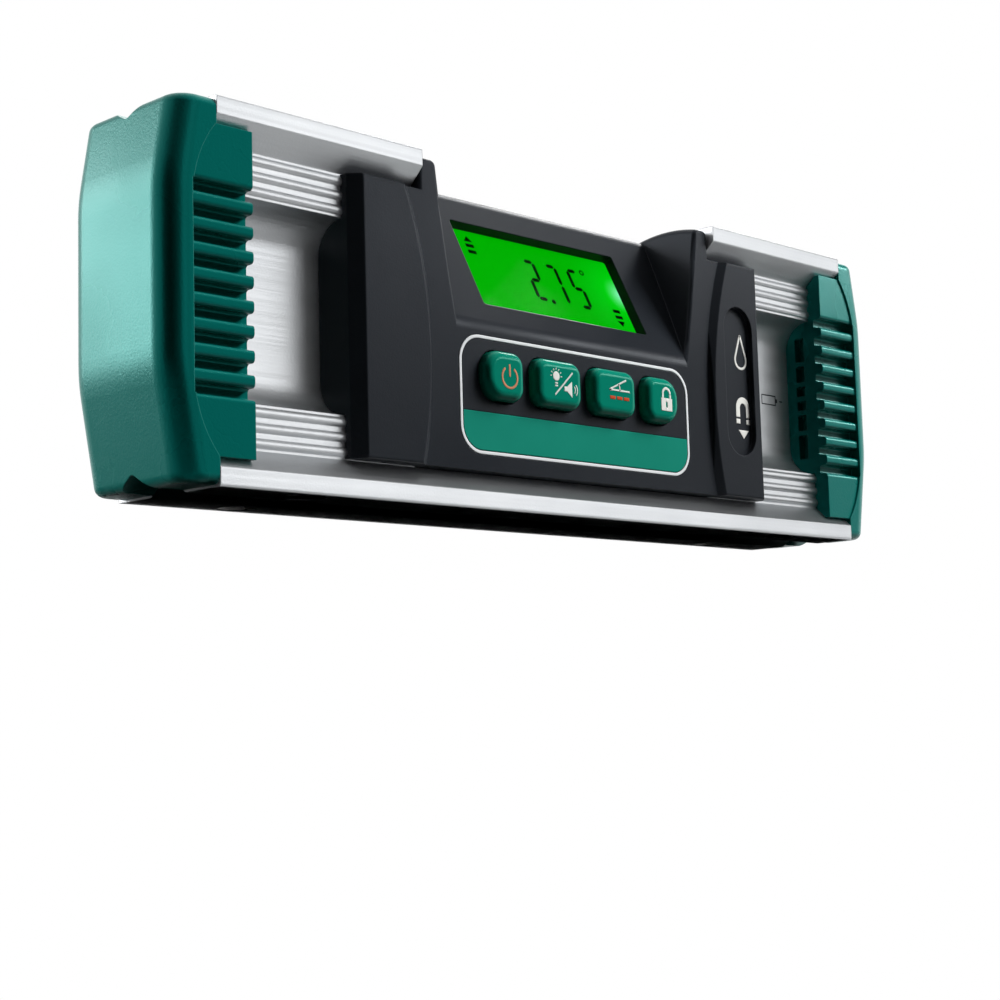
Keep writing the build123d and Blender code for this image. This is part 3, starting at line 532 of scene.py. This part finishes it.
def plate(sizes):
    # a rounded plate in the display face's frame, between two depths
    mesh = bmesh.new()
    depth = sizes["back"] - sizes["front"]
    spot = Matrix.Translation((0, sizes["middle"], -(sizes["front"] + sizes["back"]) / 2))
    shape = Matrix.Diagonal((sizes["length"], sizes["height"], depth, 1))
    bmesh.ops.create_cube(mesh, size=1, matrix=spot @ shape)
    # the edges through the plate are rounded first, then the ones round its two faces
    for through, offset, segments in ((True, sizes["corner"], 6), (False, sizes["edge"], 2)):
        edges = [e for e in mesh.edges if (abs(e.verts[0].co.z - e.verts[1].co.z) > depth / 2) == through]
        bmesh.ops.bevel(
            mesh, geom=edges, offset=offset, offset_type="OFFSET", affect="EDGES",
            segments=segments, profile=0.5, material=-1,
        )
    return mesh


# acrylic cast between polished plates and coated against glare: clear, with a faint uneven haze in its shine
def clearAcrylic():
    material, tree, surface, place = newMaterial(
        "clearAcrylic", {"Base Color": linear("#ffffff"), "IOR": window["bend"], "Transmission Weight": 1.0}
    )
    patches = addNode(
        tree, "ShaderNodeTexNoise", {"Vector": place, "Scale": perMm(window["hazeSize"]), "Detail": 2.0}
    )
    haze = addNode(
        tree, "ShaderNodeMapRange",
        {
            "Value": patches.outputs["Fac"],
            "From Min": grained["noiseLow"], "From Max": grained["noiseHigh"], "To Max": window["haze"],
        },
    )
    tree.links.new(haze.outputs["Result"], surface.inputs["Roughness"])
    return material


pane = addPiece("window_pane", plate(window), facePlace, clearAcrylic())
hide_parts("display_window")

# display: green lit panel, brightest beside its lamp at the right
display = {
    "length": 47.0, "height": 21.92, "middle": 14.26, "front": 3.1, "back": 4.6, "corner": 0.3, "edge": 0.1,
    "unlit": "#031004", "green": "#00b200", "bright": "#00e414", "glow": "#8effc4",
    "lamp": (23.4, 16.5), "reach": 17, "spot": 4.5, "falloff": 2,
}


# liquid crystal glass over a lit guide: it glows by itself, so it keeps its green in any light
def litGlass():
    material, tree, surface, place = newMaterial(
        "backlitDisplay",
        {
            "Base Color": linear(display["unlit"]), "Roughness": 0.5, "Specular IOR Level": 0.0,
            "Emission Strength": 1.0,
        },
    )
    lamp = facePlace @ Vector((*display["lamp"], -display["front"]))
    far = addNode(tree, "ShaderNodeVectorMath", {0: place, 1: lamp}, operation="DISTANCE")
    tone = linear(display["green"])
    for reach, colour in ((display["reach"], display["bright"]), (display["spot"], display["glow"])):
        near = addNode(
            tree, "ShaderNodeMapRange",
            {"Value": far.outputs["Value"], "From Min": 0, "From Max": reach * mm, "To Min": 1, "To Max": 0},
        )
        fade = addNode(
            tree, "ShaderNodeMath", {0: near.outputs["Result"], 1: display["falloff"]}, operation="POWER"
        )
        mix = addNode(
            tree, "ShaderNodeMix",
            {"Factor": fade.outputs[0], "A": tone, "B": linear(colour)}, data_type="RGBA",
        )
        tone = mix.outputs["Result"]
    tree.links.new(tone, surface.inputs["Emission Color"])
    return material


glass = addPiece("lcd_module", plate(display), facePlace, litGlass())
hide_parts("lcd_panel")

# readout: seven-segment figures and two tilt arrows
readout = {
    "figures": "275", "first": -0.68, "pitch": 5.97, "low": 11.25, "tall": 9.4, "wide": 3.2,
    "stroke": 0.8, "gap": 0.14, "front": 3.03, "thick": 0.06,
    "point": (1.95, 11.4), "pointShare": 0.62,  # radius for each mm of stroke
    "degree": (14.3, 20.4), "degreeRadius": 0.5, "degreeLine": 0.24,
    "upArrow": (-15.4, 22.5), "downArrow": (19.9, 9.3), "arrowWide": 2.0, "arrowFoot": 0.45, "arrowTip": 0.75,
    "arrowStep": 1.42, "arrowBar": 0.72,
}
segmentsOf = {"2": "abged", "7": "abc", "5": "afgcd"}


def drawReadout():
    mesh = bmesh.new()
    wide = readout["wide"] - readout["stroke"]
    half = (readout["tall"] - readout["stroke"]) / 2
    low = readout["low"] + readout["stroke"] / 2
    left, right = -wide / 2, wide / 2
    ends = {
        "a": ((left, 2 * half), (right, 2 * half)),
        "b": ((right, half), (right, 2 * half)),
        "c": ((right, 0), (right, half)),
        "d": ((left, 0), (right, 0)),
        "e": ((left, 0), (left, half)),
        "f": ((left, half), (left, 2 * half)),
        "g": ((left, half), (right, half)),
    }
    for index, figure in enumerate(readout["figures"]):
        middle = Vector((readout["first"] + index * readout["pitch"], low))
        for letter in segmentsOf[figure]:
            a, b = (middle + Vector(p) for p in ends[letter])
            run = (b - a).normalized()
            side = Vector((-run.y, run.x)) * readout["stroke"] / 2
            a, b = a + run * readout["gap"], b - run * readout["gap"]
            tip = run * readout["stroke"] / 2
            addShape(mesh, [a, a + tip + side, b - tip + side, b, b - tip - side, a + tip - side])
    addDisc(mesh, readout["point"], readout["stroke"] * readout["pointShare"])
    addArc(mesh, readout["degree"], readout["degreeRadius"], readout["degreeLine"], 0, 360, steps=20)
    for spot, way in ((readout["upArrow"], 1), (readout["downArrow"], -1)):
        x, y = spot
        half = readout["arrowWide"] / 2
        foot, tip = y - way * readout["arrowFoot"], y + way * readout["arrowTip"]
        addShape(mesh, [(x - half, foot), (x + half, foot), (x, tip)])
        for step in (1, 2):
            level = y - way * step * readout["arrowStep"]
            addBar(mesh, (x - half, level), (x + half, level), readout["arrowBar"])
    thicken(mesh, -readout["front"] - readout["thick"], -readout["front"])
    return mesh


# liquid crystal switched dark: near black, a little green from the light behind it
crystal = grainedFinish(
    "darkLiquidCrystal", "#06180c", "#031008", 0.55, 0.65, 0.3, 0.002, {"Specular IOR Level": 0.0}
)
addPiece("lcd_figures", drawReadout(), facePlace, crystal)
print("display drawn")

# pad prints on the keys and the tab, and a laser mark on the metal: thin and matt, so they hardly shine
prints = {"ink": 0.02, "sunk": 0.05, "keyFace": -14.0, "recessFloor": -12.0, "web": -3.6}
matt = {"Specular IOR Level": 0.2}
whiteInk = grainedFinish("whitePadPrint", "#e9e9e4", "#d8d8d2", 0.5, 0.6, 0.25, 0.006, matt)
amberInk = grainedFinish("amberPadPrint", "#cf9070", "#b97c5c", 0.5, 0.6, 0.25, 0.006, matt)
redInk = grainedFinish("redPadPrint", "#c8502f", "#ad4023", 0.5, 0.6, 0.25, 0.006, matt)
darkInk = grainedFinish("darkLaserMark", "#55585c", "#44474b", 0.5, 0.6, 0.25, 0.004, matt)


def addPrint(name, mesh, level, ink, body="level"):
    thicken(mesh, -prints["sunk"], prints["ink"])
    addPiece(name, mesh, frontPlace(prints[level]), ink, body)


# power key: open ring with a stroke
powerMark = {
    "middle": (-20.5, 23.0), "radius": 1.85, "line": 0.42, "gap": 70,  # degrees, open at the top
    "strokeFrom": 0.1, "strokeTop": 25.3,
}
mesh = bmesh.new()
x, z = powerMark["middle"]
addArc(
    mesh, powerMark["middle"], powerMark["radius"], powerMark["line"],
    90 + powerMark["gap"] / 2, 360 - powerMark["gap"],
)
addBar(mesh, (x, z + powerMark["strokeFrom"]), (x, powerMark["strokeTop"]), powerMark["line"])
addPrint("power_mark", mesh, "keyFace", amberInk, "power_button")

# light and sound key: bulb with rays, slash, speaker with waves
lampMark = {
    "bulb": (-8.7, 24.55), "radius": 0.85, "neck": 0.7, "bands": (23.3, 22.85), "band": 0.28,
    "rays": 7, "rayFrom": 1.12, "rayTo": 1.5, "ray": 0.2,
    "slash": ((-9.1, 21.2), (-4.4, 25.55)), "slashLine": 0.32,
    "speaker": (
        (-6.7, 22.05), (-5.95, 22.05), (-4.65, 21.05), (-4.65, 23.95), (-5.95, 22.95), (-6.7, 22.95),
    ),
    "waves": (0.95, 1.5), "waveFrom": (-4.75, 22.5), "wave": 0.22, "waveStart": -40, "waveSweep": 80,
}
mesh = bmesh.new()
x, z = lampMark["bulb"]
addDisc(mesh, lampMark["bulb"], lampMark["radius"], steps=28)
for level in lampMark["bands"]:
    addBar(mesh, (x - lampMark["neck"] / 2, level), (x + lampMark["neck"] / 2, level), lampMark["band"])
for step in range(lampMark["rays"]):
    way = Matrix.Rotation(math.pi * step / (lampMark["rays"] - 1), 2) @ Vector((1, 0))
    start, end = (Vector((x, z)) + way * lampMark[key] for key in ("rayFrom", "rayTo"))
    addBar(mesh, start, end, lampMark["ray"])
addBar(mesh, *lampMark["slash"], lampMark["slashLine"])
addShape(mesh, lampMark["speaker"])
for radius in lampMark["waves"]:
    addArc(
        mesh, lampMark["waveFrom"], radius, lampMark["wave"],
        lampMark["waveStart"], lampMark["waveSweep"], steps=12,
    )
addPrint("light_mark", mesh, "keyFace", whiteInk, "light_button")

# mode key: an angle with its arc, and a row of dashes
modeMark = {
    "corner": (5.5, 23.7), "flat": (11.1, 23.7), "raised": (10.2, 25.8), "line": 0.34,
    "arc": 2.9, "arcEnd": 26, "arcShare": 0.8,  # the arc's line for each mm of the others
    "dashes": (5.6, 7.5, 9.4), "dash": 1.5, "dashLevel": 22.3, "dashHeight": 0.6,
}
mesh = bmesh.new()
addBar(mesh, modeMark["corner"], modeMark["flat"], modeMark["line"])
addBar(mesh, modeMark["corner"], modeMark["raised"], modeMark["line"])
thin = modeMark["line"] * modeMark["arcShare"]
addArc(mesh, modeMark["corner"], modeMark["arc"], thin, 0, modeMark["arcEnd"], steps=10)
addPrint("mode_mark", mesh, "keyFace", whiteInk, "mode_button")
mesh = bmesh.new()
for start in modeMark["dashes"]:
    level = modeMark["dashLevel"]
    addBar(mesh, (start, level), (start + modeMark["dash"], level), modeMark["dashHeight"])
addPrint("mode_dashes", mesh, "keyFace", redInk, "mode_button")

# hold key: padlock with a keyhole
lockMark = {
    "left": 20.15, "right": 23.3, "low": 21.25, "top": 23.7, "hole": (21.5, 21.95, 21.95, 23.0),
    "shackle": 1.05, "line": 0.5, "bow": 24.5,
}
mesh = bmesh.new()
left, right, low, top = (lockMark[key] for key in ("left", "right", "low", "top"))
holeLeft, holeRight, holeLow, holeTop = lockMark["hole"]
for x0, x1, z0, z1 in (
    (left, holeLeft, low, top), (holeRight, right, low, top),
    (holeLeft, holeRight, low, holeLow), (holeLeft, holeRight, holeTop, top),
):
    addBar(mesh, (x0, (z0 + z1) / 2), (x1, (z0 + z1) / 2), z1 - z0)
middle = (left + right) / 2
addArc(mesh, (middle, lockMark["bow"]), lockMark["shackle"], lockMark["line"], 0, 180, steps=20)
for side in (-1, 1):
    x = middle + side * lockMark["shackle"]
    addBar(mesh, (x, top), (x, lockMark["bow"]), lockMark["line"])
addPrint("hold_mark", mesh, "keyFace", whiteInk, "hold_button")

# right-hand tab: a drop for the sealed case, a magnet pointing at the base
tabMark = {
    "drop": (47.8, 34.3), "dropRadius": 1.75, "dropTip": 39.3, "line": 0.5,
    "magnet": (47.9, 24.6), "magnetRadius": 1.6, "magnetLine": 1.25,
    "legs": 22.75, "poles": (21.45, 22.4),
    "arrow": ((46.3, 20.2), (49.5, 20.2), (47.9, 18.5)),
}
mesh = bmesh.new()
x, z = tabMark["drop"]
radius = tabMark["dropRadius"]
reach = tabMark["dropTip"] - z
touch = math.degrees(math.acos(radius / reach))
addArc(mesh, tabMark["drop"], radius, tabMark["line"], 90 + touch, 360 - 2 * touch)
for side in (-1, 1):
    way = Matrix.Rotation(math.radians(side * touch), 2) @ Vector((0, radius))
    addBar(mesh, (x + way.x, z + way.y), (x, tabMark["dropTip"]), tabMark["line"])
x, z = tabMark["magnet"]
addArc(mesh, tabMark["magnet"], tabMark["magnetRadius"], tabMark["magnetLine"], 0, 180, steps=24)
for side in (-1, 1):
    leg = x + side * tabMark["magnetRadius"]
    addBar(mesh, (leg, tabMark["legs"]), (leg, z), tabMark["magnetLine"])
    addBar(mesh, (leg, tabMark["poles"][0]), (leg, tabMark["poles"][1]), tabMark["magnetLine"])
addShape(mesh, tabMark["arrow"])
addPrint("tab_marks", mesh, "recessFloor", whiteInk)

# beside the right-hand tab: a cell with its poles, marked on the metal
cellMark = {
    "left": 65.7, "right": 70.6, "low": 28.6, "top": 30.5, "line": 0.26,
    "nub": 0.5, "nubShare": 1.6,  # the nub's height for each mm of its length
    "dash": 72.4,
}
mesh = bmesh.new()
left, right, low, top = (cellMark[key] for key in ("left", "right", "low", "top"))
half = cellMark["line"] / 2
for level in (low, top):
    addBar(mesh, (left, level), (right, level), cellMark["line"])
for x in (left + half, right - half):
    addBar(mesh, (x, low + half), (x, top - half), cellMark["line"])
middle = (low + top) / 2
nub, dash = cellMark["nub"], cellMark["dash"]
addBar(mesh, (right, middle), (right + nub, middle), nub * cellMark["nubShare"])
addBar(mesh, (dash - nub, middle), (dash + nub, middle), cellMark["line"])
addPrint("cell_mark", mesh, "web", darkInk)
print("marks printed")
